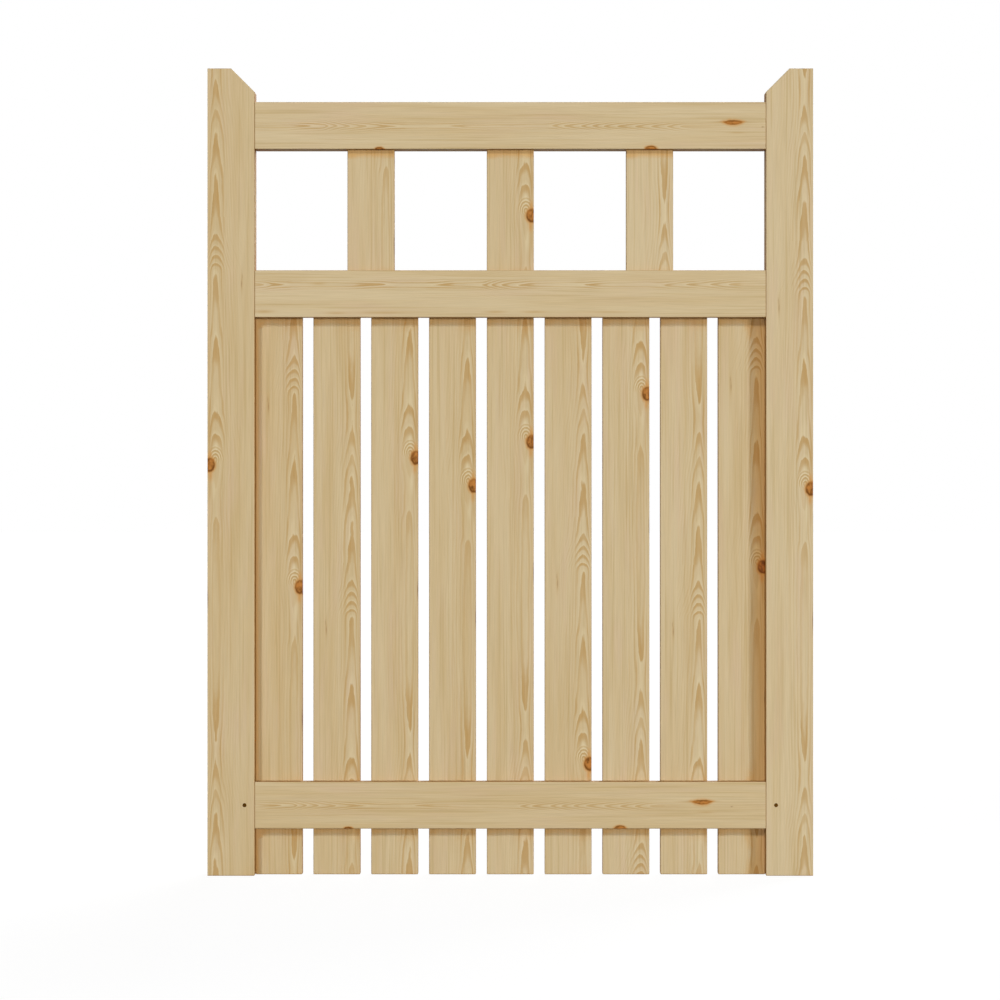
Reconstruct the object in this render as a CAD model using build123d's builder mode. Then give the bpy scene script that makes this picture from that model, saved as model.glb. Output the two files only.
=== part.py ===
"""Garden gate leaf in pine: two stiles and three rails, mortised and tenoned, with pickets.

x runs across the gate from the outer edge of the hanging stile, y runs from front to back
with zero in the middle of the frame's thickness, and z runs up from the stiles' feet.
All sizes are in millimetres.
"""

import math
import os

from build123d import *

os.makedirs("parts", exist_ok=True)

# Overall size
gate_width = 900.0
gate_height = 1200.0

# Timber sections
stile_width = 70.0
rail_height = 70.0
picket_width = 70.0
frame_thickness = 40.0
upper_picket_thickness = 20.0
lower_picket_thickness = 18.0
arris_radius = 1.5

# Heights
top_rail_drop = 50.0
window_height = 180.0
bottom_rail_lift = 70.0

# Slanting cut on the inner half of each stile's top
stile_top_flat = 35.0
top_cut_angle = 45.0

# Spacing of the pickets: as many as fit with at least this much room between them
lower_gap_least = 15.0
upper_gap_least = 120.0

# Mortise and tenon between rails and stiles
tenon_thickness = 12.0
tenon_shoulder = 10.0
mortise_depth = 50.0
mortise_end_gap = 2.0
tenon_chamfer = 2.0
joint_gap = 0.2

# Stub tenons on the upper pickets
stub_thickness = 10.0
stub_shoulder = 10.0
stub_length = 15.0
stub_end_gap = 1.0

# Rebate along the back of the middle rail, which takes the tops of the lower pickets
rebate_height = 30.0

# Hole that pins each tenon of the bottom rail, drilled from the front
pin_hole_diameter = 6.0
pin_hole_edge = 15.0
pin_hole_depth = 30.0

# Step from the frame's back to the lower pickets' backs
back_step = 2.0

# Layers from front to back
front = -frame_thickness / 2
back = frame_thickness / 2
picket_back = back - back_step
picket_front = picket_back - lower_picket_thickness
bottom_rail_thickness = picket_front - front
tenon_centre = picket_front - tenon_thickness / 2

# Heights of the rails' lower edges
top_rail_bottom = gate_height - top_rail_drop - rail_height
mid_rail_top = top_rail_bottom - window_height
mid_rail_bottom = mid_rail_top - rail_height
rail_bottoms = [bottom_rail_lift, mid_rail_bottom, top_rail_bottom]
lower_picket_length = mid_rail_bottom + rebate_height

# Planes of the gate's two faces, both looking to the front
front_plane = Plane.XZ.offset(-front)
back_plane = Plane.XZ.offset(-back)

# Widths that follow from the frame
clear_width = gate_width - 2 * stile_width
gate_middle = gate_width / 2
top_cut_drop = (stile_width - stile_top_flat) * math.tan(math.radians(top_cut_angle))

# Tenons and the mortises they fit
tenon_height = rail_height - 2 * tenon_shoulder
tenon_length = mortise_depth - mortise_end_gap
stub_width = picket_width - 2 * stub_shoulder
pin_hole_x = stile_width - pin_hole_edge
pin_hole_z = bottom_rail_lift + rail_height / 2

# Lower pickets stand from stile to stile, the outer two against the stiles
lower_count = math.floor((clear_width + lower_gap_least) / (picket_width + lower_gap_least))
lower_pitch = (clear_width - picket_width) / (lower_count - 1)
lower_centres = [stile_width + picket_width / 2 + i * lower_pitch for i in range(lower_count)]

# Upper pickets have an equal gap on either side
upper_count = math.floor((clear_width - upper_gap_least) / (picket_width + upper_gap_least))
upper_gap = (clear_width - upper_count * picket_width) / (upper_count + 1)
upper_pitch = picket_width + upper_gap
upper_centres = [stile_width - picket_width / 2 + (i + 1) * upper_pitch for i in range(upper_count)]


def make_rail_blank(bottom, thickness):
    """A rail flush with the gate's front, its edges eased, with a tenon at each end."""
    middle = bottom + rail_height / 2
    with BuildPart() as blank:
        with BuildSketch(Plane.YZ.offset(stile_width)):
            with Locations((front + thickness / 2, middle)):
                Rectangle(thickness, rail_height)
        extrude(amount=clear_width)
        fillet(blank.edges(), radius=arris_radius)
        with BuildSketch(Plane.YZ.offset(stile_width - tenon_length)):
            with Locations((tenon_centre, middle)):
                Rectangle(tenon_thickness, tenon_height)
        extrude(amount=clear_width + 2 * tenon_length)
        tenon_ends = blank.faces().filter_by(Axis.X).group_by(Axis.X)
        chamfer(tenon_ends[0].edges() + tenon_ends[-1].edges(), length=tenon_chamfer)
    return blank.part


# Hanging stile: slanting top, edges eased except round its outer face, mortises and pin hole
with BuildPart() as left_stile:
    with BuildSketch(back_plane):
        with BuildLine():
            Polyline(
                (0, 0),
                (stile_width, 0),
                (stile_width, gate_height - top_cut_drop),
                (stile_top_flat, gate_height),
                (0, gate_height),
                close=True,
            )
        make_face()
    extrude(amount=frame_thickness)
    outer_face = left_stile.faces().sort_by(Axis.X)[0]
    fillet(left_stile.edges() - outer_face.edges(), radius=arris_radius)
    with BuildSketch(Plane.YZ.offset(stile_width)):
        with Locations(*[(tenon_centre, bottom + rail_height / 2) for bottom in rail_bottoms]):
            Rectangle(tenon_thickness + 2 * joint_gap, tenon_height + 2 * joint_gap)
    extrude(amount=-mortise_depth, mode=Mode.SUBTRACT)
    with Locations(front_plane):
        with Locations((pin_hole_x, pin_hole_z)):
            Hole(radius=pin_hole_diameter / 2, depth=pin_hole_depth)
left_stile.part.label = "left_stile"
export_step(left_stile.part, "parts/left_stile.step")

# Closing stile: the hanging stile's mirror image
with BuildPart() as right_stile:
    mirror(left_stile.part, about=Plane.YZ.offset(gate_middle))
right_stile.part.label = "right_stile"
export_step(right_stile.part, "parts/right_stile.step")

# Top rail: stub mortises in its underside
top_rail_blank = make_rail_blank(top_rail_bottom, frame_thickness)
with BuildPart() as top_rail:
    add(top_rail_blank)
    with BuildSketch(Plane.XY.offset(top_rail_bottom)):
        with Locations(*[(centre, 0) for centre in upper_centres]):
            Rectangle(stub_width + 2 * joint_gap, stub_thickness + 2 * joint_gap)
    extrude(amount=stub_length + stub_end_gap, mode=Mode.SUBTRACT)
top_rail.part.label = "top_rail"
export_step(top_rail.part, "parts/top_rail.step")

# Middle rail: stub mortises in its top, and the rebate along the lower half of its back
mid_rail_blank = make_rail_blank(mid_rail_bottom, frame_thickness)
with BuildPart() as mid_rail:
    add(mid_rail_blank)
    with BuildSketch(Plane.XY.offset(mid_rail_top)):
        with Locations(*[(centre, 0) for centre in upper_centres]):
            Rectangle(stub_width + 2 * joint_gap, stub_thickness + 2 * joint_gap)
    extrude(amount=-(stub_length + stub_end_gap), mode=Mode.SUBTRACT)
    with BuildSketch(Plane.YZ.offset(stile_width)):
        with Locations((picket_front, mid_rail_bottom)):
            Rectangle(back - picket_front, rebate_height, align=(Align.MIN, Align.MIN))
    extrude(amount=clear_width, mode=Mode.SUBTRACT)
mid_rail.part.label = "mid_rail"
export_step(mid_rail.part, "parts/mid_rail.step")

# Bottom rail: thin enough to leave room for the lower pickets behind it, its tenons drilled
bottom_rail_blank = make_rail_blank(bottom_rail_lift, bottom_rail_thickness)
with BuildPart() as bottom_rail:
    add(bottom_rail_blank)
    with Locations(front_plane):
        with Locations((pin_hole_x, pin_hole_z), (gate_width - pin_hole_x, pin_hole_z)):
            Hole(radius=pin_hole_diameter / 2, depth=pin_hole_depth)
bottom_rail.part.label = "bottom_rail"
export_step(bottom_rail.part, "parts/bottom_rail.step")

# Upper pickets: shouldered on both rails, with a stub tenon at each end
for number, centre in enumerate(upper_centres, start=1):
    with BuildPart() as upper_picket:
        with BuildSketch(Plane.XY.offset(mid_rail_top)):
            with Locations((centre, 0)):
                Rectangle(picket_width, upper_picket_thickness)
        extrude(amount=window_height)
        fillet(upper_picket.edges().filter_by(Axis.Z), radius=arris_radius)
        with BuildSketch(Plane.XY.offset(mid_rail_top - stub_length)):
            with Locations((centre, 0)):
                Rectangle(stub_width, stub_thickness)
        extrude(amount=window_height + 2 * stub_length)
    upper_picket.part.label = f"upper_picket_{number}"
    export_step(upper_picket.part, f"parts/upper_picket_{number}.step")

# Lower pickets: behind the bottom rail and up into the middle rail's rebate
for number, centre in enumerate(lower_centres, start=1):
    with BuildPart() as lower_picket:
        with BuildSketch(Plane.XY):
            with Locations((centre, picket_front)):
                Rectangle(picket_width, lower_picket_thickness, align=(Align.CENTER, Align.MIN))
        extrude(amount=lower_picket_length)
        long_edges = lower_picket.edges().filter_by(Axis.Z)
        foot_edges = lower_picket.faces().sort_by(Axis.Z)[0].edges()
        fillet(long_edges + foot_edges, radius=arris_radius)
    lower_picket.part.label = f"lower_picket_{number}"
    export_step(lower_picket.part, f"parts/lower_picket_{number}.step")
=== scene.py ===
"""Looks of a pine garden gate leaf: grain, knots and painted shade, sunk screws, nails, studio and
camera.

Places are metres in the gate's frame: x across from the hanging edge, y from front to back, z up.
The figure of a board is laid out in millimetres: across it, into it and along its grain.
"""

import logging
import math
from dataclasses import dataclass
from enum import Enum
from typing import NamedTuple

import bpy
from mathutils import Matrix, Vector


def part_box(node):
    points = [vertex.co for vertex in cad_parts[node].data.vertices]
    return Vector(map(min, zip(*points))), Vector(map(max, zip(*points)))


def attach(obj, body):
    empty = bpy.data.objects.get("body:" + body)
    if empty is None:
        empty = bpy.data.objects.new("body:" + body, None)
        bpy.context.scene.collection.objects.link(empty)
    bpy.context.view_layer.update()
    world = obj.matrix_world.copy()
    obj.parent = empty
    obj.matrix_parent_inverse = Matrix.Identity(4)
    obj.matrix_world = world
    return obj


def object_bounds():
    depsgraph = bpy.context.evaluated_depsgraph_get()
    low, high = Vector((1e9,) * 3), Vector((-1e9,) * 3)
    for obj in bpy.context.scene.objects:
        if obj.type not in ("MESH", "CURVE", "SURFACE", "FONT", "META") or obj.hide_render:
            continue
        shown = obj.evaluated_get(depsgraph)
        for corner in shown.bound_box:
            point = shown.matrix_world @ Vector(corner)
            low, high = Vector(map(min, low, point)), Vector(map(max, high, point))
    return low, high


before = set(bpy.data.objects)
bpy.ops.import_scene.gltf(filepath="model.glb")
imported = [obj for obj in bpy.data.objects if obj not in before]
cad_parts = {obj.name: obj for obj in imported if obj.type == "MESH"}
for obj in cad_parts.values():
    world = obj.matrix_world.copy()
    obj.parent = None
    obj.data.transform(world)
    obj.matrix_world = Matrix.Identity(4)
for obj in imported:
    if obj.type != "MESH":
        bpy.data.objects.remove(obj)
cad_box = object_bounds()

log = logging.getLogger("garden_gate")

BODY = "root"
MM_PER_M = 1000.0

Colour = tuple[float, float, float, float]
Triple = tuple[float, float, float]

WHITE: Colour = (1.0, 1.0, 1.0, 1.0)

SIZE_NAMES = ("Head Radius", "Head Height", "Shank Radius", "Length", "Tilt", "Jitter")


def linear(*display: int) -> Colour:
    """Turn a display colour into linear light.

    Args:
        *display: Red, green and blue from 0 to 255.

    Returns:
        The linear colour with full alpha.
    """
    shares = [value / 255 for value in display]
    light = [s / 12.92 if s <= 0.04045 else ((s + 0.055) / 1.055) ** 2.4 for s in shares]
    return (light[0], light[1], light[2], 1.0)


class Field:
    """A number or colour that varies over a surface, with arithmetic that writes the nodes."""

    def __init__(self, sheet: "NodeSheet", socket: bpy.types.NodeSocket) -> None:
        """Keep the sheet and the output that carries the value."""
        self.sheet = sheet
        self.socket = socket

    def __add__(self, other: "Number") -> "Field":
        """Sum of two values."""
        return self.sheet.math("ADD", self, other)

    def __sub__(self, other: "Number") -> "Field":
        """Difference of two values."""
        return self.sheet.math("SUBTRACT", self, other)

    def __rsub__(self, other: float) -> "Field":
        """Difference with a plain number first."""
        return self.sheet.math("SUBTRACT", other, self)

    def __mul__(self, other: "Number") -> "Field":
        """Product of two values."""
        return self.sheet.math("MULTIPLY", self, other)

    def __truediv__(self, other: "Number") -> "Field":
        """Quotient of two values."""
        return self.sheet.math("DIVIDE", self, other)

    def __abs__(self) -> "Field":
        """Value without its sign."""
        return self.sheet.math("ABSOLUTE", self)

    __radd__ = __add__
    __rmul__ = __mul__


Number = float | Field


class NodeSheet:
    """A node tree that is written as arithmetic."""

    def __init__(self, tree: bpy.types.NodeTree) -> None:
        """Keep the tree that the nodes go into."""
        self.tree = tree

    def node(
        self, kind: str, given: dict[str, object] | None = None, **settings: object
    ) -> bpy.types.Node:
        """Add a node.

        Args:
            kind: Blender's name of the node type.
            given: What goes into its inputs, by their names.
            **settings: Properties of the node.

        Returns:
            The new node.
        """
        made = self.tree.nodes.new(kind)
        for name, value in settings.items():
            setattr(made, name, value)
        self.fill(made, given or {})
        return made

    def fill(self, node: bpy.types.Node, given: dict[str, object]) -> None:
        """Feed the inputs of a node by their names."""
        for name, value in given.items():
            self.feed(node.inputs[name], value)

    def feed(self, socket: bpy.types.NodeSocket, value: object) -> None:
        """Link a value to an input, or set a plain value on it.

        Args:
            socket: The input.
            value: A field, a node for its first output, an output, or a plain value.
        """
        if isinstance(value, bpy.types.Node):
            value = value.outputs[0]
        if isinstance(value, Field):
            value = value.socket
        if isinstance(value, bpy.types.NodeSocket):
            self.tree.links.new(value, socket)
        else:
            socket.default_value = value

    def apply(self, kind: str, *values: object, **settings: object) -> Field:
        """Add a node and feed its inputs in their order.

        Args:
            kind: Blender's name of the node type.
            *values: What goes into its first inputs.
            **settings: Properties of the node.

        Returns:
            Its first output.
        """
        made = self.node(kind, **settings)
        for socket, value in zip(made.inputs, values):
            self.feed(socket, value)
        return Field(self, made.outputs[0])

    def open_sockets(self, direction: str, kind: str, *names: str) -> None:
        """Give the tree inputs or outputs of one kind."""
        for name in names:
            self.tree.interface.new_socket(name, in_out=direction, socket_type=kind)

    def tree_inputs(self) -> dict[str, Field]:
        """Read the tree's own inputs by their names."""
        outputs = self.node("NodeGroupInput").outputs
        return {socket.name: Field(self, socket) for socket in outputs if socket.name}

    def math(self, operation: str, *values: Number) -> Field:
        """Work out one operation on numbers, by Blender's name for it."""
        return self.apply("ShaderNodeMath", *values, operation=operation)

    def vector(self, *values: Number) -> Field:
        """Put a vector together from its three numbers."""
        return self.apply("ShaderNodeCombineXYZ", *values)

    def vector_math(self, operation: str, first: object, second: object) -> Field:
        """Work out one operation on two vectors.

        Args:
            operation: Blender's name of the operation.
            first: A vector field or plain vector.
            second: A vector field or plain vector, or the factor of a scaling.

        Returns:
            The resulting vector, or number for a dot product.
        """
        made = self.node("ShaderNodeVectorMath", operation=operation)
        self.feed(made.inputs[0], first)
        self.feed(made.inputs["Scale"] if operation == "SCALE" else made.inputs[1], second)
        return Field(self, made.outputs["Value" if operation == "DOT_PRODUCT" else "Vector"])

    def ease(
        self, value: Number, start: Number, end: Number, low: float = 0.0, high: float = 1.0
    ) -> Field:
        """Pass smoothly from the low level to the high one between two values, in either order."""
        values = (value, start, end, low, high)
        return self.apply("ShaderNodeMapRange", *values, interpolation_type="SMOOTHSTEP")

    def bell(self, *distances: Field) -> Field:
        """Fade from one in the middle to almost nothing at twice a unit distance."""
        total = sum((distance * distance for distance in distances), 0.0)
        return self.math("EXPONENT", total * -1.0)

    def hypot(self, first: Field, second: Field) -> Field:
        """Length of the slanting side of a square corner."""
        return self.math("SQRT", first * first + second * second)

    def split(self, vector: Field) -> list[Field]:
        """Take a vector apart into its three numbers."""
        made = self.node("ShaderNodeSeparateXYZ", {"Vector": vector})
        return [Field(self, output) for output in made.outputs]

    def noise(self, place: Field, stretch: Triple, detail: float = 2.0) -> Field:
        """Make an even noise about zero.

        Args:
            place: The point on the board.
            stretch: Size of the noise's spots across, into and along the board, in the same unit.
            detail: How many finer layers are added.

        Returns:
            Noise that mostly lies between -1 and 1.
        """
        scale = tuple(1 / size for size in stretch)
        spot = self.vector_math("MULTIPLY", place, scale)
        given = {"Vector": spot, "Scale": 1.0, "Detail": detail}
        made = self.node("ShaderNodeTexNoise", given, noise_dimensions="3D")
        middle = 0.5
        spread = 3.0
        return (Field(self, made.outputs["Fac"]) - middle) * spread

    def lot(self, number: Field) -> Field:
        """Draw a fixed number from 0 to 1 for each value."""
        made = self.node("ShaderNodeTexWhiteNoise", {"W": number}, noise_dimensions="1D")
        return Field(self, made.outputs["Value"])

    def curve(
        self, value: Field, places: tuple[float, ...], levels: tuple[float, ...]
    ) -> Field:
        """Follow a smooth curve through points.

        Args:
            value: The value that is read.
            places: Where the points lie, in rising order.
            levels: How high the curve is at each of them.

        Returns:
            The level.
        """
        made = self.node("ShaderNodeFloatCurve")
        low = min(levels)
        height = max(levels) - low or 1.0
        length = places[-1] - places[0]
        spots = [((p - places[0]) / length, (v - low) / height) for p, v in zip(places, levels)]
        line = made.mapping.curves[0].points
        for spot in spots[1:-1]:
            line.new(*spot)
        line[0].location = spots[0]
        line[-1].location = spots[-1]
        for point in line:
            point.handle_type = "AUTO_CLAMPED"
        made.mapping.update()
        self.feed(made.inputs["Value"], (value - places[0]) / length)
        return Field(self, made.outputs["Value"]) * height + low

    def blend(self, share: Number, first: object, second: object) -> Field:
        """Mix two colours.

        Args:
            share: How much of the second colour.
            first: A colour or a colour field.
            second: A colour or a colour field.

        Returns:
            The mixed colour.
        """
        made = self.node("ShaderNodeMix", data_type="RGBA", clamp_factor=True)
        colours = [socket for socket in made.inputs if socket.type == "RGBA"]
        self.feed(made.inputs[0], share)
        self.feed(colours[0], first)
        self.feed(colours[1], second)
        return Field(self, next(socket for socket in made.outputs if socket.type == "RGBA"))


class Grain(Enum):
    """Which way the grain of a board runs."""

    UPRIGHT = "upright"
    LYING = "lying"


class Tint(Enum):
    """Colour of a streak along the grain, by its name in the finish."""

    AMBER = "amber"
    TAN = "knot_halo"
    PALE = "bright"
    STAIN = "stain"


@dataclass(frozen=True)
class Knot:
    """A branch sawn across, with the ripples of the rings beside it."""

    across: float
    along: float
    half_width: float
    half_length: float
    roundness: float = 2.0
    sag: float = 0.0
    dark_side: tuple[float, float] = (0.0, 0.0)
    ripples: float = 0.0


@dataclass(frozen=True)
class Streak:
    """A soft stripe along the grain."""

    across: float
    along: float
    half_width: float
    half_length: float
    strength: float
    tint: Tint = Tint.AMBER


class Crop(NamedTuple):
    """Which ring crops out at a place along the grain, how clear it is and how wide it spreads."""

    along: float
    ring: float
    strength: float
    spread: float = 0.0


@dataclass(frozen=True)
class Figure:
    """The grain pattern of a board: rings that crop out in a column and run off as lines.

    All lengths are millimetres. Those along the grain are measured from the main knot, and the
    pattern comes again after one repeat, over which a whole number of rings crops out.
    """

    name: str
    column_across: float
    ring_width: float
    roundness: float
    squeeze: float
    fade: tuple[float, float]
    line_strength: float
    outcrop: tuple[Crop, ...]
    knots: tuple[Knot, ...]
    streaks: tuple[Streak, ...]


def crops(*rows: tuple[float, ...]) -> tuple[Crop, ...]:
    """Read rows of crops: place along, ring, strength and, where it isn't zero, spread."""
    return tuple(Crop(*row) for row in rows)


UPRIGHT_FIGURE = Figure(
    name="upright_figure",
    column_across=58.0,
    ring_width=4.0,
    roundness=2.0,
    squeeze=1.4,
    fade=(5.0, 13.0),
    line_strength=0.42,
    outcrop=crops(
        (-366, 16.42, 0.8, 0.3), (-342, 16, 0.9, 0.35), (-323, 15, 0.9, 0.38),
        (-310, 14, 0.95, 0.38), (-297, 13, 0.95, 0.35), (-284, 12, 0.95, 0.28),
        (-266, 11.82, 0.9, 0.18), (-244, 11.62, 0.8, 0.1), (-215, 11.35, 0.5, 0.1),
        (-190, 11, 1, 0.25), (-176, 10.85, 1, 0.3), (-154, 10.62, 0.9, 0.3), (-120, 10.3, 0.5, 0.3),
        (-98, 10.12, 0.6, 0.45), (-78, 10, 1, 0.55), (-66, 9.62, 1, 0.55), (-54, 9.3, 0.95, 0.55),
        (-44, 9, 0.95, 0.55), (-38, 8.72, 0.9, 0.52), (-20, 8.25, 0.5, 0.45), (5, 7.6, 0.2, 0.3),
        (36, 8, 0.3, 0.1), (50, 8.12, 0.4, 0.1), (79, 8, 0.6, 0.1), (94, 7.65, 0.6, 0.1),
        (130, 7.5, 0.4, 0.1), (223, 7.25, 0.35, 0.1), (300, 7.35, 0.4, 0.1), (345, 7.5, 0.7, 0.1),
        (380, 7.68, 1, 0.1), (412, 8, 1, 0.1), (427, 8.1, 0.9, 0.1), (442, 8, 0.9, 0.1),
        (455, 7.8, 0.9, 0.1), (470, 7.5, 0.7, 0.1), (484, 7, 0.6, 0.1), (496, 6.65, 0.6, 0.15),
        (519, 6, 1, 0.25), (540, 5.8, 1, 0.3), (558, 5.55, 0.8, 0.3), (586, 5, 1, 0.35),
        (610, 4.82, 1, 0.35), (632, 4.6, 0.9, 0.3), (646, 4.42, 0.8, 0.2),
    ),
    knots=(
        Knot(66.8, 2.5, 8.0, 10.5, dark_side=(-0.5, 0.9), ripples=1.0),
    ),
    streaks=(
        Streak(35.5, 120, 0.8, 260, 0.3), Streak(41, 0, 0.7, 400, 0.22),
        Streak(46, -250, 0.8, 180, 0.3), Streak(19, -268, 1.8, 17, 0.4),
        Streak(19.3, -266, 0.7, 6, 0.4, Tint.STAIN), Streak(18.2, -277, 0.6, 4, 0.3, Tint.STAIN),
        Streak(57.5, -25, 3, 6, 0.7, Tint.PALE), Streak(67, -46, 2.2, 32, 0.7),
        Streak(66, -13, 3, 7, 0.8, Tint.TAN), Streak(65.5, 19, 3.2, 8, 0.8, Tint.TAN),
        Streak(66.5, 38, 1.8, 20, 0.5), Streak(60, 40, 2.5, 16, 0.5, Tint.PALE),
        Streak(68.5, -150, 1.8, 60, 0.4), Streak(70, 200, 1, 15, 0.95, Tint.STAIN),
    ),
)

RAIL_FIGURE = Figure(
    name="rail_figure",
    column_across=36.0,
    ring_width=2.6,
    roundness=0.9,
    squeeze=1.0,
    fade=(4.0, 8.0),
    line_strength=0.24,
    outcrop=crops(
        (-800, 0.45, 0.3), (-665, 0.45, 0.4), (-640, 0.78, 0.9), (-624, 1, 1), (-612, 1.2, 0.8),
        (-601, 2, 0.7), (-586, 3, 0.7), (-569, 4, 0.7), (-543, 5, 0.8), (-530, 5.45, 0.9),
        (-514, 5.8, 1), (-499, 6, 1), (-485, 6.15, 0.7), (-445, 6.1, 0.5), (-426, 6, 0.7),
        (-410, 5.8, 0.7), (-395, 5.55, 0.5), (-285, 5.2, 0.4), (-272, 5, 0.7), (-252, 4, 0.8),
        (-226, 3, 0.8), (-210, 2, 0.8), (-192, 1, 0.8), (-172, 0, 0.8), (-146, -1, 0.8),
        (-123, -2, 0.8), (-100, -3, 0.8), (-80, -4, 0.7), (-66, -4.35, 0.4), (0, -4.5, 0.25),
        (212, -4.55, 0.3),
    ),
    knots=(
        Knot(30.6, 0.0, 3.4, 15.0, roundness=1.0, sag=1.0, dark_side=(-1.0, 0.0)),
        Knot(69.5, -122.0, 4.4, 8.5, dark_side=(-1.0, 0.0)),
        Knot(71.0, -526.0, 4.0, 7.0, dark_side=(-1.0, 0.0)),
    ),
    streaks=(
        Streak(30.3, -3, 1.6, 23, 0.7), Streak(29, 0, 0.7, 17, 0.7, Tint.STAIN),
        Streak(45.5, 6, 1.2, 12, 0.5), Streak(20.5, -300, 1, 70, 0.25),
        Streak(37, 44, 0.8, 1.6, 0.55, Tint.STAIN),
    ),
)

MIDDLE_FIGURE = Figure(
    name="middle_figure",
    column_across=21.5,
    ring_width=2.8,
    roundness=0.9,
    squeeze=1.0,
    fade=(4.0, 9.0),
    line_strength=0.28,
    outcrop=crops(
        (-40, 0.45, 0.4), (60, 0.5, 0.5), (85, 1, 0.8), (98, 1.7, 1), (117, 2, 1), (128, 2.15, 0.6),
        (200, 2.3, 0.5), (232, 2.6, 1), (255, 2.82, 1), (272, 3, 1), (285, 3.12, 0.6),
        (320, 3.1, 0.6), (332, 3, 1), (350, 2.8, 1), (366, 2.55, 0.8), (395, 2.3, 0.5),
        (408, 2, 0.8), (422, 1, 0.9), (436, 0, 0.9), (446, -0.5, 0.9), (461, -1, 1), (472, -1.2, 1),
        (484, -1.45, 0.8), (530, -1.8, 0.4), (559, -2, 1), (570, -2.2, 1), (582, -2.45, 0.7),
        (640, -2.8, 0.3), (676, -3, 0.8), (684, -3.2, 0.8), (692, -3.45, 0.5), (712, -4, 0.8),
        (722, -4.25, 0.8), (732, -4.5, 0.5), (746, -5, 0.8), (756, -5.3, 0.7), (774, -6, 0.8),
        (784, -6.3, 0.8), (800, -6.5, 0.4), (972, -6.55, 0.4),
    ),
    knots=(),
    streaks=(
        Streak(19.8, 165, 2, 10, 0.5), Streak(61.5, 84, 2.5, 14, 0.6),
        Streak(63.5, 192, 1.8, 16, 0.5), Streak(63, 262, 2, 36, 0.5),
        Streak(62, 428, 1.8, 15, 0.55), Streak(62, 485, 1.8, 18, 0.55),
        Streak(62, 600, 1.6, 36, 0.4),
    ),
)


@dataclass(frozen=True)
class Board:
    """One board of the gate: its node, where its main knot lies along it, and its figure."""

    node: str
    knot_place: float
    figure: Figure = UPRIGHT_FIGURE
    mirrored: bool = False
    honey: float = 0.0

    @property
    def grain(self) -> Grain:
        """Which way the board's grain runs."""
        return Grain.UPRIGHT if self.figure is UPRIGHT_FIGURE else Grain.LYING


class GrainPoint:
    """A point of a board: with its own noise, and as places across, into and along it."""

    def __init__(self, sheet: NodeSheet, figure: Figure, given: dict[str, Field]) -> None:
        """Find the point's places, inside the figure's one repeat.

        Args:
            sheet: Where the nodes go.
            figure: The grain pattern.
            given: The board's number and the point's place on it.
        """
        self.sheet = sheet
        self.figure = figure
        board_spacing = 137.0
        shift = sheet.vector(0.0, given["Number"] * board_spacing, 0.0)
        self.own = sheet.vector_math("ADD", given["Place"], shift)
        self.across, self.depth, along = sheet.split(given["Place"])
        first, last = figure.outcrop[0].along, figure.outcrop[-1].along
        self.along = sheet.math("WRAP", along, last, first)

    def noise(self, spots: Triple, detail: float = 2.0) -> Field:
        """Make noise that is the board's own."""
        return self.sheet.noise(self.own, spots, detail)


@dataclass(frozen=True)
class Shelter:
    """An occlusion test for painted shade: which way it looks, how far, and its open and shaded
    levels.

    Without an axis it looks straight out of the wood.
    """

    axis: Triple | None
    reach: float
    open_share: float
    covered_share: float
    samples: int = 8


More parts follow.
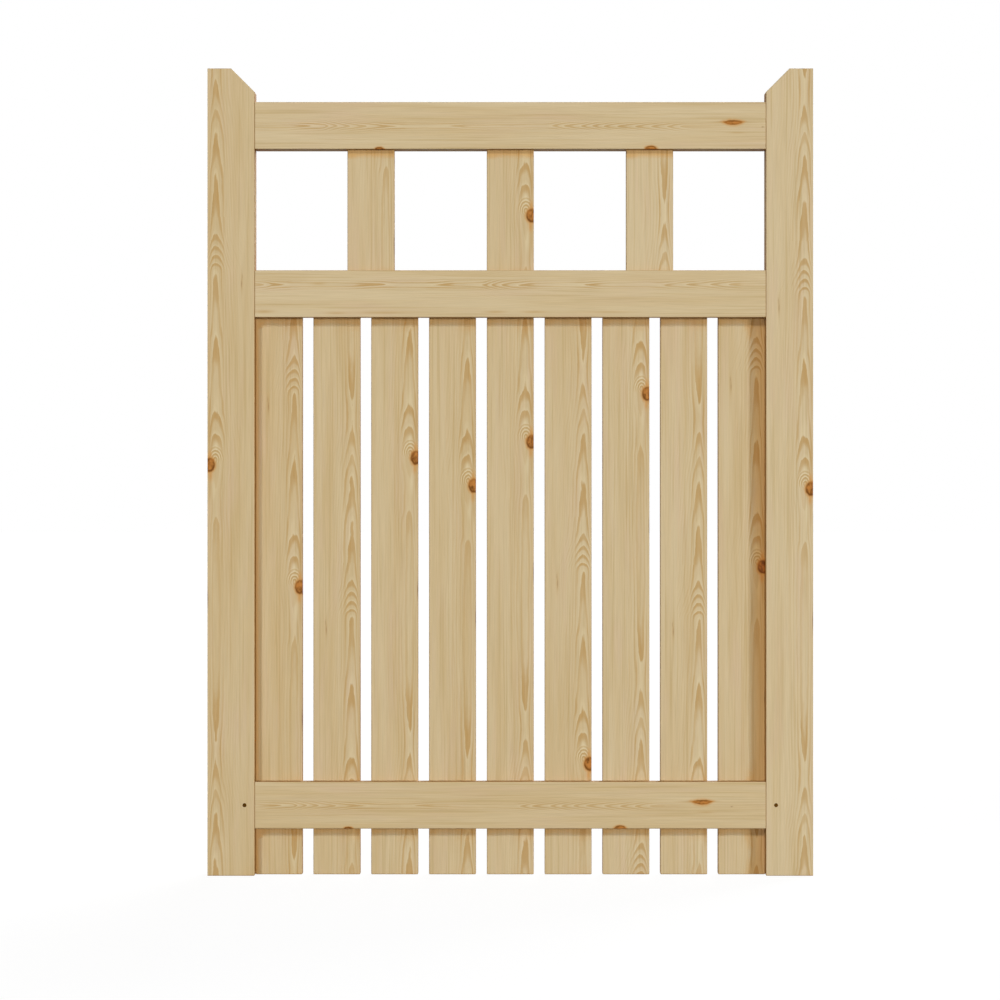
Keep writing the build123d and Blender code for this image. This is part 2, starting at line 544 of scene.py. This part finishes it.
@dataclass(frozen=True)
class PineFinish:
    """Planed, bare pine with visible rings, fibres and knots; side faces and nooks get painted
    shade.

    The spots are sizes of noise across, into and along a board, in millimetres.
    """

    pale: Colour = linear(210, 190, 151)
    honey: Colour = linear(199, 173, 126)
    rosy: Colour = linear(208, 182, 149)
    amber: Colour = linear(185, 148, 90)
    thread: Colour = linear(176, 147, 88)
    bright: Colour = linear(220, 203, 163)
    knot_core: Colour = linear(186, 122, 54)
    knot_deep: Colour = linear(110, 64, 10)
    knot_halo: Colour = linear(200, 146, 78)
    stain: Colour = linear(120, 72, 28)
    end_wood: Colour = linear(182, 148, 100)
    # Painted shadow: a warmer, darker tint where the rails' and stiles' shadows fall on the boards
    # behind them.
    shade: Triple = (0.98, 0.78, 0.53)
    # Painted shade: every side face of a board darker and warmer than its front and back.
    side_shade_tone: Triple = (0.86, 0.77, 0.63)
    # Painted shade in recesses: side faces hemmed in by neighbouring boards are darker still, and
    # the occlusion test below finds them.
    recess_shade_tone: Triple = (0.74, 0.53, 0.30)
    recess_probe: Shelter = Shelter(None, 0.25, 1.0, 0.88, samples=4)
    # Occlusion tests that place the painted shadow under the rails and beside the stiles.
    shadow_probes: tuple[Shelter, ...] = (
        Shelter((-0.24, -0.55, 0.80), 0.0175, 0.59, 0.51),
        Shelter((0.85, -0.40, 0.30), 0.035, 0.47, 0.37),
    )
    sway_spots: Triple = (200.0, 200.0, 90.0)
    bend_spots: Triple = (24.0, 24.0, 170.0)
    wave_spots: Triple = (6.0, 6.0, 26.0)
    break_spots: Triple = (4.0, 4.0, 90.0)
    fibre_spots: Triple = (1.6, 1.6, 45.0)
    thread_spots: Triple = (2.6, 2.6, 240.0)
    honey_spots: Triple = (16.0, 16.0, 260.0)
    rosy_spots: Triple = (22.0, 22.0, 150.0)
    knot_spots: Triple = (3.0, 3.0, 5.0)
    blotch_spots: Triple = (7.0, 7.0, 9.0)
    thread_share: float = 0.32
    fibre_share: float = 0.065
    late_share: float = 0.88
    light_share: float = 0.45
    ripple_share: float = 0.75
    roughness: float = 0.62
    specular: float = 0.10
    bump_strength: float = 0.35
    bump_depth: float = 0.0005

    def figure_group(self, figure: Figure) -> bpy.types.NodeTree:
        """Write the nodes that lay a figure over a board.

        Args:
            figure: The grain pattern.

        Returns:
            A node group from a place on the board to its colour, roughness and height.
        """
        found = bpy.data.node_groups.get(figure.name)
        if found:
            return found
        sheet = NodeSheet(bpy.data.node_groups.new(figure.name, "ShaderNodeTree"))
        # Painted shade laid over the figure: darker, warmer side faces, recesses and shadows under
        # and beside neighbours.
        painted_shades = {"Edge": self.side_shade_tone, "Hem": self.recess_shade_tone, "Shelter": self.shade}
        sheet.open_sockets("INPUT", "NodeSocketVector", "Place")
        sheet.open_sockets("INPUT", "NodeSocketFloat", "Number", "Honey", "End", *painted_shades)
        sheet.open_sockets("OUTPUT", "NodeSocketColor", "Colour")
        sheet.open_sockets("OUTPUT", "NodeSocketFloat", "Roughness", "Height")
        given = sheet.tree_inputs()

        point = GrainPoint(sheet, figure, given)
        late, light = self._rings(point, given["End"])
        fibre = point.noise(self.fibre_spots, 3.0)
        threads = sheet.ease(point.noise(self.thread_spots), 0.10, 0.60)
        colour = self._early_wood(point, given["Honey"], given["End"])
        colour = sheet.blend(self.thread_share * threads, colour, self.thread)
        colour = sheet.blend(late, colour, self.amber)
        colour = sheet.blend(light, colour, self.bright)
        colour = sheet.vector_math("SCALE", colour, 1.0 + self.fibre_share * fibre)
        colour = self._with_streaks(point, colour)
        colour, knot = self._with_knots(point, colour)
        # Each painted shade tint darkens the colour where its input is one.
        for shade_input, tone in painted_shades.items():
            toned = sheet.vector_math("MULTIPLY", colour, tone)
            colour = sheet.blend(given[shade_input], colour, toned)

        roughness = self.roughness - 0.10 * knot - 0.06 * late + 0.04 * fibre
        height = late + 0.35 * fibre + 0.5 * knot
        results = {"Colour": colour, "Roughness": roughness, "Height": height}
        sheet.node("NodeGroupOutput", results)
        return sheet.tree

    def _rings(self, point: GrainPoint, end: Field) -> tuple[Field, Field]:
        """Draw the rings: arches and flames where they crop out, lines beside, circles on an end.

        Args:
            point: The point on the board.
            end: One where the wood is cut across its grain.

        Returns:
            How much late wood shows, and how bright the wood beside it is.
        """
        sheet, figure = point.sheet, point.figure
        places, rings_out, strengths, spreads = zip(*figure.outcrop)
        crops_out = sheet.curve(point.along, places, rings_out)
        spread = sheet.curve(point.along, places, spreads)
        strength = sheet.curve(point.along, places, strengths)
        sway = 1.2 * point.noise(self.sway_spots)
        side = point.across - figure.column_across + sway
        beyond = sheet.math("MAXIMUM", side, 0.0)
        side = side + (figure.squeeze - 1.0) * beyond
        spread_reach = 15.0
        side = side * (1.0 - spread * sheet.bell(side / spread_reach))
        flatness = 0.9
        distance = sheet.hypot(side, flatness * point.depth) / figure.ring_width
        rings = sheet.math("SQRT", distance * distance + figure.roundness**2) - figure.roundness
        away = sheet.ease(abs(side), *figure.fade)
        bends = 0.6 * away * point.noise(self.bend_spots)
        waves = 0.15 * point.noise(self.wave_spots, 3.0)
        rings = rings + crops_out + bends + waves

        phase = sheet.math("FRACT", rings)
        share = 0.35 + 0.65 * sheet.lot(sheet.math("FLOOR", rings))
        breaks = sheet.ease(point.noise(self.break_spots), -0.7, 0.6, 0.15, 1.0)
        far_side = 44.0
        far = sheet.ease(abs(side), far_side, figure.fade[1], 0.22, 1.0)
        line = figure.line_strength * share * breaks * far
        shown = (1.0 - away) * (0.7 + 0.3 * breaks) * strength + away * line
        late = sheet.ease(phase, 0.40, 0.72) * sheet.ease(phase, 1.0, 0.94)
        light = sheet.ease(phase, 0.26, 0.02) * shown
        late = late * sheet.math("MAXIMUM", self.late_share * shown, 0.8 * end)
        return late, self.light_share * light

    def _early_wood(self, point: GrainPoint, honey: Field, end: Field) -> Field:
        """Colour the wood between its rings and knots.

        Args:
            point: The point on the board.
            honey: How much more honey-coloured than the others this board is.
            end: One where the wood is cut across its grain.

        Returns:
            The colour.
        """
        sheet = point.sheet
        honey_share = honey + sheet.ease(point.noise(self.honey_spots, 3.0), -0.9, 1.1)
        rosy_share = sheet.ease(point.noise(self.rosy_spots), -0.1, 1.0)
        colour = sheet.blend(0.8 * honey_share, self.pale, self.honey)
        colour = sheet.blend(0.6 * rosy_share, colour, self.rosy)
        return sheet.blend(0.7 * end, colour, self.end_wood)

    def _with_streaks(self, point: GrainPoint, wood: Field) -> Field:
        """Add the figure's soft stripes.

        Args:
            point: The point on the board.
            wood: Colour of the wood so far.

        Returns:
            The colour with stripes.
        """
        sheet = point.sheet
        streak_depth = 7.0
        colour = wood
        for streak in point.figure.streaks:
            over = (point.across - streak.across) / streak.half_width
            beside = (point.along - streak.along) / streak.half_length
            share = streak.strength * sheet.bell(over, beside, point.depth / streak_depth)
            colour = sheet.blend(share, colour, getattr(self, streak.tint.value))
        return colour

    def _with_knots(self, point: GrainPoint, wood: Field) -> tuple[Field, Field]:
        """Add the figure's knots and the ripples beside them.

        Args:
            point: The point on the board.
            wood: Colour of the wood so far.

        Returns:
            The colour with knots, and one inside a knot.
        """
        sheet = point.sheet
        colour = wood
        out_of_reach = 9.0
        nearest: Number = out_of_reach
        darkness: Number = 0.0
        rough = point.noise(self.knot_spots, 3.0)
        coarse = point.noise(self.blotch_spots, 1.0)
        for knot in point.figure.knots:
            lean_along = 0.12 * point.depth
            lean_across = 0.05 * point.depth
            beside = point.along - knot.along - lean_along
            over = point.across - knot.across - lean_across
            if knot.ripples:
                colour = self._with_ripples(sheet, knot, colour, over, beside, rough)
            beside = beside / knot.half_length
            over = (over + knot.sag * beside * beside) / knot.half_width
            spread = sheet.math("POWER", abs(over), knot.roundness)
            reach = sheet.math("SQRT", spread + beside * beside)
            dark = sheet.ease(over * knot.dark_side[0] + beside * knot.dark_side[1], 0.2, 0.8)
            darkness = darkness + dark * sheet.ease(reach, 1.3, 1.0)
            nearest = sheet.math("MINIMUM", reach, nearest)
        reach = nearest + 0.10 * rough + 0.08 * coarse
        inside = sheet.ease(reach, 1.12, 0.84)
        halo = sheet.ease(reach, 1.55, 0.95)
        heart = sheet.ease(rough + coarse, -0.6, 1.1)
        core = sheet.blend(heart, self.knot_core, self.knot_deep)
        rim_place = 0.82
        rim_width = 0.20
        rim = sheet.bell((reach - rim_place) / rim_width) * (0.35 + 0.65 * darkness)
        colour = sheet.blend(0.85 * halo, colour, self.knot_halo)
        colour = sheet.blend(inside, colour, core)
        colour = sheet.blend(0.9 * rim, colour, self.knot_deep)
        return colour, inside

    def _with_ripples(
        self, sheet: NodeSheet, knot: Knot, wood: Field, over: Field, beside: Field, rough: Field
    ) -> Field:
        """Add the close ripples of the rings on one side of a knot.

        Args:
            sheet: Where the nodes go.
            knot: The knot.
            wood: Colour of the wood so far.
            over: Distance across from the knot's middle.
            beside: Distance along the grain from the knot's middle.
            rough: Fine noise.

        Returns:
            The colour with ripples.
        """
        middle_over = over + 8.5
        middle_beside = beside + 7.0
        spacing = 3.8
        distance = sheet.hypot(1.2 * middle_over, 0.75 * middle_beside)
        phase = sheet.math("FRACT", distance / spacing + 0.16 * rough)
        shown = sheet.ease(distance, 18.0, 11.0) * sheet.ease(middle_beside, 8.0, -3.0)
        shown = knot.ripples * shown * sheet.ease(middle_over, 9.0, 3.0)
        share = self.ripple_share * shown
        dark = sheet.ease(phase, 0.35, 0.70) * sheet.ease(phase, 1.0, 0.85)
        light = sheet.ease(phase, 0.45, 0.15)
        colour = sheet.blend(share * light, wood, self.bright)
        return sheet.blend(share * dark, colour, self.amber)

    def _painted_shade_share(self, sheet: NodeSheet, *shadow_probes: Shelter) -> Field:
        """Find where painted shade goes: where the wood lies under or beside a neighbouring board.

        Args:
            sheet: Where the nodes go.
            *shelters: The sides from which it can be covered.

        Returns:
            One where the wood gets its painted shade.
        """
        shade_share: Number = 0.0
        for probe in shadow_probes:
            given: dict[str, object] = {"Distance": probe.reach}
            if probe.axis:
                given["Normal"] = sheet.vector(*probe.axis)
            look = sheet.node("ShaderNodeAmbientOcclusion", given, samples=probe.samples)
            free = Field(sheet, look.outputs["AO"])
            share = sheet.ease(free, probe.open_share, probe.covered_share)
            shade_share = sheet.math("MAXIMUM", share, shade_share)
        return shade_share

    def material(self, board: Board, number: int) -> bpy.types.Material:
        """Make the material of one board.

        Args:
            board: The board.
            number: Its place in the list, which sets its own noise.

        Returns:
            The material.
        """
        made = bpy.data.materials.new(f"pine_{board.node}")
        made.use_nodes = True
        sheet = NodeSheet(made.node_tree)
        coordinates = sheet.node("ShaderNodeTexCoord")
        normal = coordinates.outputs["Normal"]
        low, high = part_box(board.node)
        if board.grain is Grain.UPRIGHT:
            side = -1.0 if board.mirrored else 1.0
            start = high.x if board.mirrored else low.x
            scale = Vector((side, 1.0, -1.0))
            turn = (0.0, 0.0, 0.0)
            place = Vector((-side * start, -low.y, board.knot_place))
            grain_axis = (0.0, 0.0, 1.0)
        else:
            scale = Vector((1.0, 1.0, 1.0))
            turn = (0.0, -math.pi / 2, 0.0)
            place = Vector((high.z, -low.y, -board.knot_place))
            grain_axis = (1.0, 0.0, 0.0)
        laid = {
            "Vector": coordinates.outputs["Object"],
            "Location": place * MM_PER_M,
            "Rotation": turn,
            "Scale": scale * MM_PER_M,
        }
        along_grain = abs(sheet.vector_math("DOT_PRODUCT", normal, grain_axis))
        to_front = sheet.vector_math("DOT_PRODUCT", normal, (0.0, -1.0, 0.0))
        # Painted shade on the side faces of the boards.
        edge = sheet.ease(abs(to_front), 0.80, 0.35)
        # Painted shadow under the rails and beside the stiles, on front faces only.
        shade_share = self._painted_shade_share(sheet, *self.shadow_probes)
        given = {
            "Place": sheet.node("ShaderNodeMapping", laid),
            "Number": float(number),
            "Honey": board.honey,
            "End": sheet.ease(along_grain, 0.55, 0.85),
            "Edge": edge,
            # Painted shade in recesses, on side faces near neighbouring boards.
            "Hem": edge * self._painted_shade_share(sheet, self.recess_probe),
            "Shelter": shade_share * sheet.ease(to_front, 0.5, 0.9),
        }
        wood = sheet.node("ShaderNodeGroup", given, node_tree=self.figure_group(board.figure))
        relief = {
            "Strength": self.bump_strength,
            "Distance": self.bump_depth,
            "Height": wood.outputs["Height"],
        }
        looks = {
            "Specular IOR Level": self.specular,
            "Base Color": wood.outputs["Colour"],
            "Roughness": wood.outputs["Roughness"],
            "Normal": sheet.node("ShaderNodeBump", relief),
        }
        sheet.fill(made.node_tree.nodes["Principled BSDF"], looks)
        return made


@dataclass
class GateLeaf:
    """The boards of the leaf, each with the figure that it was sawn with."""

    finish: PineFinish = PineFinish()
    boards: tuple[Board, ...] = (
        Board("left_stile", 0.6135, mirrored=True, honey=0.2),
        Board("right_stile", 0.5778, honey=-0.36),
        Board("top_rail", 0.7811, RAIL_FIGURE, honey=-0.15),
        Board("mid_rail", 0.0, MIDDLE_FIGURE, honey=-0.12),
        Board("bottom_rail", 0.735, RAIL_FIGURE, honey=0.15),
        Board("upper_picket_1", 1.1364, honey=0.05),
        Board("upper_picket_2", 0.9844, honey=0.25),
        Board("upper_picket_3", 1.4149, honey=-0.6),
        Board("lower_picket_1", 0.4315, honey=0.35),
        Board("lower_picket_2", 0.0987, honey=0.2),
        Board("lower_picket_3", 0.624, honey=0.15),
        Board("lower_picket_4", 0.5822, honey=0.1),
        Board("lower_picket_5", 0.6479, honey=0.1),
        Board("lower_picket_6", 0.1674, honey=0.05),
        Board("lower_picket_7", 0.7195, honey=-0.1),
        Board("lower_picket_8", 0.0957, honey=-0.15),
        Board("lower_picket_9", 0.4614),
    )

    def dress(self) -> None:
        """Give each board its own material."""
        for number, board in enumerate(self.boards):
            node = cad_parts[board.node]
            node.data.materials.clear()
            node.data.materials.append(self.finish.material(board, number))
            log.info("dressed %s", board.node)


@dataclass(frozen=True)
class SteelFinish:
    """Steel with a mottled surface."""

    name: str
    base: Colour
    mottle: Colour
    roughness: float
    spot_size: float = 0.0012

    def material(self) -> bpy.types.Material:
        """Make the material.

        Returns:
            The material.
        """
        made = bpy.data.materials.new(self.name)
        made.use_nodes = True
        sheet = NodeSheet(made.node_tree)
        place = sheet.node("ShaderNodeTexCoord").outputs["Object"]
        spots = sheet.noise(place, (self.spot_size, self.spot_size, self.spot_size), 3.0)
        share = sheet.ease(spots, -0.8, 0.8)
        looks = {
            "Metallic": 1.0,
            "Base Color": sheet.blend(share, self.base, self.mottle),
            "Roughness": self.roughness + 0.12 * spots,
        }
        sheet.fill(made.node_tree.nodes["Principled BSDF"], looks)
        return made


GALVANISED = SteelFinish("galvanised_steel", linear(176, 178, 178), linear(136, 138, 140), 0.46)
BRONZED = SteelFinish("bronzed_steel", linear(108, 74, 26), linear(78, 50, 12), 0.52)


class ShapeSheet(NodeSheet):
    """A Geometry Nodes tree that is written in a few plain steps."""

    def cylinder(self, sides: int, radius: Number, depth: Number) -> bpy.types.Node:
        """Make a cylinder along z about zero."""
        sizes = {"Vertices": sides, "Radius": radius, "Depth": depth}
        return self.node("GeometryNodeMeshCylinder", sizes)

    def cone(self, sides: int, top: Number, bottom: Number, depth: Number) -> bpy.types.Node:
        """Make a blunt cone that stands on zero, from its two radii."""
        sizes = {"Vertices": sides, "Radius Top": top, "Radius Bottom": bottom, "Depth": depth}
        return self.node("GeometryNodeMeshCone", sizes)

    def raised(self, shape: bpy.types.Node, height: Number) -> bpy.types.Node:
        """Move a shape along its axis."""
        given = {"Geometry": shape, "Translation": self.vector(0.0, 0.0, height)}
        return self.node("GeometryNodeTransform", given)

    def gathered(self, kind: str, inlet: str, *shapes: bpy.types.Node) -> bpy.types.Node:
        """Bring several shapes into the one inlet of a node.

        Args:
            kind: Blender's name of the node type.
            inlet: Name of the inlet.
            *shapes: The shapes.

        Returns:
            The node.
        """
        made = self.node(kind)
        for shape in shapes:
            self.feed(made.inputs[inlet], shape)
        return made

    def chance(self, low: Number, high: Number, seed: Number) -> Field:
        """Draw a number for each point.

        Args:
            low: The least.
            high: The most.
            seed: Which run of numbers.

        Returns:
            The number.
        """
        made = self.node("FunctionNodeRandomValue", data_type="FLOAT")
        limits = [socket for socket in made.inputs if socket.type == "VALUE"]
        self.feed(limits[0], low)
        self.feed(limits[1], high)
        self.feed(made.inputs["Seed"], seed)
        return Field(self, next(output for output in made.outputs if output.type == "VALUE"))


@dataclass
class Fasteners:
    """Fasteners of one kind, repeated over their places and each turned at random."""

    name: str
    head_radius: float
    head_height: float
    shank_radius: float
    length: float
    tilt: float
    jitter: float
    seed: int
    finish: SteelFinish

    def places(self) -> list[Vector]:
        """List where the tops of the heads' seats lie."""
        raise NotImplementedError

    def shape(self, sheet: ShapeSheet, size: dict[str, Field]) -> bpy.types.Node:
        """Make one fastener that stands along z with its seat at zero.

        Args:
            sheet: Where the nodes go.
            size: The named inputs of the tree.

        Returns:
            The fastener.
        """
        raise NotImplementedError

    def tree(self) -> bpy.types.NodeTree:
        """Write the tree that sets a fastener on each point.

        Returns:
            The tree.
        """
        sheet = ShapeSheet(bpy.data.node_groups.new(self.name, "GeometryNodeTree"))
        sheet.open_sockets("INPUT", "NodeSocketGeometry", "Places")
        sheet.open_sockets("INPUT", "NodeSocketFloat", *SIZE_NAMES)
        sheet.open_sockets("INPUT", "NodeSocketInt", "Seed")
        sheet.open_sockets("INPUT", "NodeSocketMaterial", "Material")
        sheet.open_sockets("OUTPUT", "NodeSocketGeometry", "Fasteners")
        given = sheet.tree_inputs()

        most, seed = given["Jitter"], given["Seed"]
        least = most * -1.0
        across = sheet.chance(least, most, seed)
        upward = sheet.chance(least, most, seed + 1.0)
        set_off = {"Geometry": given["Places"], "Offset": sheet.vector(across, 0.0, upward)}
        turn = sheet.chance(0.0, math.tau, seed + 2.0)
        spread = {
            "Points": sheet.node("GeometryNodeSetPosition", set_off),
            "Instance": self.shape(sheet, given),
            "Rotation": sheet.vector(given["Tilt"], turn, 0.0),
        }
        instances = sheet.node("GeometryNodeInstanceOnPoints", spread)
        real = sheet.node("GeometryNodeRealizeInstances", {"Geometry": instances})
        steel = {"Geometry": real, "Material": given["Material"]}
        dressed = sheet.node("GeometryNodeSetMaterial", steel)
        sheet.node("NodeGroupOutput", {"Fasteners": dressed})
        return sheet.tree

    def build(self) -> bpy.types.Object:
        """Make the fasteners as one plain mesh on the leaf.

        Returns:
            The piece.
        """
        points = bpy.data.meshes.new(f"{self.name}_places")
        points.from_pydata(self.places(), [], [])
        piece = bpy.data.objects.new(self.name, points)
        bpy.context.scene.collection.objects.link(piece)
        modifier = piece.modifiers.new(self.name, "NODES")
        modifier.node_group = self.tree()
        values: dict[str, object] = {"Seed": self.seed, "Material": self.finish.material()}
        for name in SIZE_NAMES:
            values[name] = getattr(self, name.lower().replace(" ", "_"))
        for item in modifier.node_group.interface.items_tree:
            if item.name in values:
                modifier[item.identifier] = values[item.name]
        evaluated = piece.evaluated_get(bpy.context.evaluated_depsgraph_get())
        mesh = bpy.data.meshes.new_from_object(evaluated)
        piece.modifiers.remove(modifier)
        piece.data = mesh
        mesh.name = self.name
        mesh.shade_smooth()
        sharp_angle = 35.0
        mesh.set_sharp_from_angle(angle=math.radians(sharp_angle))
        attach(piece, BODY)
        log.info("made %s", self.name)
        return piece


@dataclass
class PicketNails(Fasteners):
    """Two nails through the back of each lower picket into the rail at its head and at its foot."""

    name: str = "picket_nails"
    head_radius: float = 0.0028
    head_height: float = 0.0005
    shank_radius: float = 0.0013
    length: float = 0.032
    tilt: float = -math.pi / 2
    jitter: float = 0.0012
    seed: int = 3
    finish: SteelFinish = GALVANISED
    picket_count: int = 9
    half_spacing: float = 0.018
    top_drop: float = 0.015
    foot_height: float = 0.105
    rim_share: float = 0.82
    point_share: float = 0.15
    tip_share: float = 0.1
    head_sides: int = 24
    shank_sides: int = 12

    def places(self) -> list[Vector]:
        """List the nails' places on the backs of the pickets.

        Returns:
            The places, picket by picket.
        """
        found = []
        for number in range(1, self.picket_count + 1):
            low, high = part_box(f"lower_picket_{number}")
            middle = (low.x + high.x) / 2
            for height in (self.foot_height, high.z - self.top_drop):
                for side in (-self.half_spacing, self.half_spacing):
                    found.append(Vector((middle + side, high.y, height)))
        return found

    def shape(self, sheet: ShapeSheet, size: dict[str, Field]) -> bpy.types.Node:
        """Make one nail: a flat head with a chamfered rim, a round shank and a point.

        Args:
            sheet: Where the nodes go.
            size: The named inputs of the tree.

        Returns:
            The nail.
        """
        head, rise = size["Head Radius"], size["Head Height"]
        shank, length = size["Shank Radius"], size["Length"]
        cap = sheet.cone(self.head_sides, self.rim_share * head, head, rise)
        seat = sheet.cylinder(self.head_sides, head, rise)
        stem_length = (1.0 - self.point_share) * length
        stem = sheet.cylinder(self.shank_sides, shank, stem_length)
        tip = self.tip_share * shank
        point = sheet.cone(self.shank_sides, shank, tip, self.point_share * length)
        return sheet.gathered(
            "GeometryNodeJoinGeometry",
            "Geometry",
            cap,
            sheet.raised(seat, -0.5 * rise),
            sheet.raised(stem, -0.5 * stem_length),
            sheet.raised(point, -1.0 * length),
        )


@dataclass
class PinScrews(Fasteners):
    """Screws sunk in the stiles' fronts, which hold the tenons of the bottom rail."""

    name: str = "pin_screws"
    head_radius: float = 0.0029
    head_height: float = 0.0022
    shank_radius: float = 0.0021
    length: float = 0.0205
    tilt: float = math.pi / 2
    jitter: float = 0.0
    seed: int = 8
    finish: SteelFinish = BRONZED
    edge_distance: float = 0.015
    height: float = 0.105
    sunk: float = 0.0085
    recess: tuple[Triple, ...] = ((0.0034, 0.0009, 0.0026), (0.0009, 0.0034, 0.0024))
    thread_turns: float = 8.0
    thread_share: float = 0.8
    thread_end: float = 0.05
    ridge_share: float = 0.8
    head_sides: int = 32
    shank_sides: int = 24
    thread_steps: int = 20
    ridge_sides: int = 4

    def places(self) -> list[Vector]:
        """List the middles of the screws' heads, sunk below the stiles' fronts.

        Returns:
            The places, left and right.
        """
        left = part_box("left_stile")
        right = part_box("right_stile")
        depth = left[0].y + self.sunk
        across = (left[1].x - self.edge_distance, right[0].x + self.edge_distance)
        return [Vector((x, depth, self.height)) for x in across]

    def shape(self, sheet: ShapeSheet, size: dict[str, Field]) -> bpy.types.Node:
        """Make one screw: a countersunk head with a cross recess, a shank and its thread.

        Args:
            sheet: Where the nodes go.
            size: The named inputs of the tree.

        Returns:
            The screw.
        """
        head, deep = size["Head Radius"], size["Head Height"]
        shank, length = size["Shank Radius"], size["Length"]
        cone = sheet.cone(self.head_sides, head, shank, deep)
        arms = [sheet.node("GeometryNodeMeshCube", {"Size": arm}) for arm in self.recess]
        cross = sheet.gathered("GeometryNodeMeshBoolean", "Mesh 2", *arms)
        cross.operation = "UNION"
        carved = {"Mesh 1": sheet.raised(cone, -1.0 * deep), "Mesh 2": cross}
        cut = sheet.node("GeometryNodeMeshBoolean", carved, operation="DIFFERENCE")

        stem_length = length - deep
        stem = sheet.cylinder(self.shank_sides, shank, stem_length)
        winding = {
            "Resolution": self.thread_steps,
            "Rotations": self.thread_turns,
            "Start Radius": shank,
            "End Radius": shank,
            "Height": self.thread_share * stem_length,
        }
        ridge = {"Resolution": self.ridge_sides, "Radius": self.ridge_share * (head - shank)}
        swept = {
            "Curve": sheet.node("GeometryNodeCurveSpiral", winding),
            "Profile Curve": sheet.node("GeometryNodeCurvePrimitiveCircle", ridge),
            "Fill Caps": True,
        }
        thread = sheet.node("GeometryNodeCurveToMesh", swept)
        return sheet.gathered(
            "GeometryNodeJoinGeometry",
            "Geometry",
            cut,
            sheet.raised(stem, -1.0 * deep - 0.5 * stem_length),
            sheet.raised(thread, -1.0 * length + self.thread_end * stem_length),
        )


@dataclass(frozen=True)
class Lamp:
    """A soft lamp far away.

    The source is the direction to it, the softness its width in degrees as seen from the gate, and
    the share how much of a full level it adds on the gate's face that looks its way.
    """

    name: str
    source: Triple
    softness: float
    share: float

    def build(self) -> None:
        """Add the lamp to the scene."""
        towards = Vector(self.source).normalized()
        slant = abs(towards.y)
        light = bpy.data.lights.new(self.name, "SUN")
        light.energy = self.share * math.pi / slant
        light.angle = math.radians(self.softness)
        placed = bpy.data.objects.new(self.name, light)
        placed.rotation_mode = "QUATERNION"
        placed.rotation_quaternion = (-towards).to_track_quat("-Z", "Y")
        bpy.context.scene.collection.objects.link(placed)


@dataclass
class Studio:
    """A pale floor, soft light and the camera in front of the gate."""

    floor_reach: float = 30.0
    camera_distance: float = 5.3
    camera_height: float = 0.6
    lens: float = 128.4
    shift: tuple[float, float] = (-0.0103, -0.0279)
    ambient: float = 0.115
    floor_tone: float = 0.22
    faint_tone: float = 0.12
    floor_glow: float = 0.93
    lamps: tuple[Lamp, ...] = (
        Lamp("key_lamp", (-0.51, -1.0, 0.64), 7.0, 0.28),
        Lamp("fill_lamp", (1.2, -1.0, 0.13), 8.4, 0.28),
        Lamp("front_lamp", (0.0, -1.0, 0.06), 6.0, 0.26),
        Lamp("back_lamp", (0.4, 1.0, 0.55), 40.0, 0.75),
    )

    def build(self) -> None:
        """Make the floor, the world, the lamps and the camera."""
        self._make_floor()
        self._make_world()
        for lamp in self.lamps:
            lamp.build()
        self._make_camera()
        log.info("studio is ready")

    def _seen_directly(self, sheet: NodeSheet) -> Field:
        """Tell rays that see plain white: from the camera, from a mirror or through glass.

        Args:
            sheet: Where the nodes go.

        Returns:
            One for those rays.
        """
        path = sheet.node("ShaderNodeLightPath")
        names = ("Is Camera Ray", "Is Glossy Ray", "Is Transmission Ray")
        camera, glossy, through = (Field(sheet, path.outputs[name]) for name in names)
        return sheet.math("MAXIMUM", camera, sheet.math("MAXIMUM", glossy, through))

    def _make_floor(self) -> None:
        """Lay the floor under the gate's feet."""
        middle = (cad_box[0] + cad_box[1]) / 2
        reach = self.floor_reach
        signs = ((-1, -1), (1, -1), (1, 1), (-1, 1))
        corners = [(middle.x + x * reach, middle.y + y * reach, 0.0) for x, y in signs]
        mesh = bpy.data.meshes.new("floor")
        mesh.from_pydata(corners, [], [(0, 1, 2, 3)])
        floor = bpy.data.objects.new("floor", mesh)
        bpy.context.scene.collection.objects.link(floor)

        made = bpy.data.materials.new("floor_white")
        made.use_nodes = True
        tree = made.node_tree
        tree.nodes.remove(tree.nodes["Principled BSDF"])
        sheet = NodeSheet(tree)
        matt, faint = (
            sheet.node("ShaderNodeBsdfDiffuse", {"Color": (tone, tone, tone, 1.0)})
            for tone in (self.floor_tone, self.faint_tone)
        )
        glow = sheet.node("ShaderNodeEmission", {"Strength": self.floor_glow})
        white = sheet.apply("ShaderNodeAddShader", glow, faint)
        chosen = sheet.apply("ShaderNodeMixShader", self._seen_directly(sheet), matt, white)
        sheet.fill(tree.nodes["Material Output"], {"Surface": chosen})
        mesh.materials.append(made)

    def _make_world(self) -> None:
        """Make the world white to the eye and a low even light to the gate."""
        world = bpy.data.worlds.new("studio_world")
        bpy.context.scene.world = world
        world.use_nodes = True
        sheet = NodeSheet(world.node_tree)
        level = self.ambient + (1.0 - self.ambient) * self._seen_directly(sheet)
        background = world.node_tree.nodes["Background"]
        sheet.fill(background, {"Color": WHITE, "Strength": level})

    def _make_camera(self) -> None:
        """Place the camera square on to the gate's front."""
        middle = (cad_box[0] + cad_box[1]) / 2
        camera = bpy.data.cameras.new("camera")
        camera.lens = self.lens
        camera.shift_x, camera.shift_y = self.shift
        placed = bpy.data.objects.new("camera", camera)
        placed.location = (middle.x, cad_box[0].y - self.camera_distance, self.camera_height)
        placed.rotation_euler = (math.pi / 2, 0.0, 0.0)
        bpy.context.scene.collection.objects.link(placed)
        bpy.context.scene.camera = placed


def main() -> None:
    """Dress the gate and set up its studio."""
    logging.basicConfig(level=logging.INFO)
    bpy.context.scene.view_settings.view_transform = "Standard"
    GateLeaf().dress()
    PicketNails().build()
    PinScrews().build()
    Studio().build()


if __name__ == "__main__":
    main()
